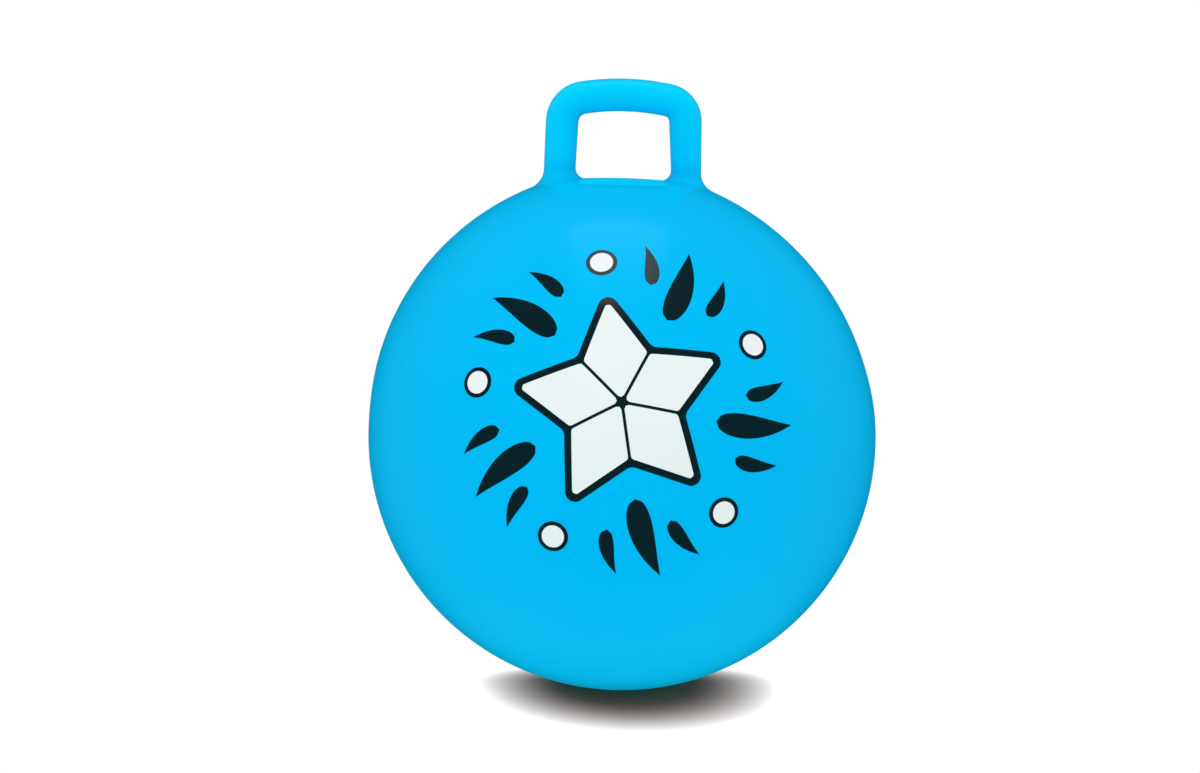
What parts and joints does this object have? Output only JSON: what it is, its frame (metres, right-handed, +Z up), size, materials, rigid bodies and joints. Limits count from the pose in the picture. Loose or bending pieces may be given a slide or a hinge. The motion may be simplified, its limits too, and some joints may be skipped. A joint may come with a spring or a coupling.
{
  "type": "hopper ball",
  "caption": "Inflatable hopper ball: a thin hollow PVC skin with a moulded loop handle on its crown and a push-in valve plug at the back.",
  "frame": {"origin": "on the floor, at the middle of the flat patch that the ball rests on", "axes": "+Z up through the crown and the handle; the loop lies in the XZ plane, the front faces -Y and the valve is at the back, +Y"},
  "size_m": [0.45, 0.45, 0.5395],
  "materials": {
    "skin": "gloss",
    "seat": "satin",
    "plug": "satin"
  },
  "bodies": {
    "ball": {"ball_shell": "skin", "handle_loop": "skin", "valve_seat": "seat"},
    "plug": {"valve_plug": "plug"}
  },
  "joints": [
    {"name": "plug_pull", "type": "slide", "parent": "ball", "child": "plug", "axis": [0, 0.9781, 0.2079], "range_m": [0, 0.032]}
  ]
}
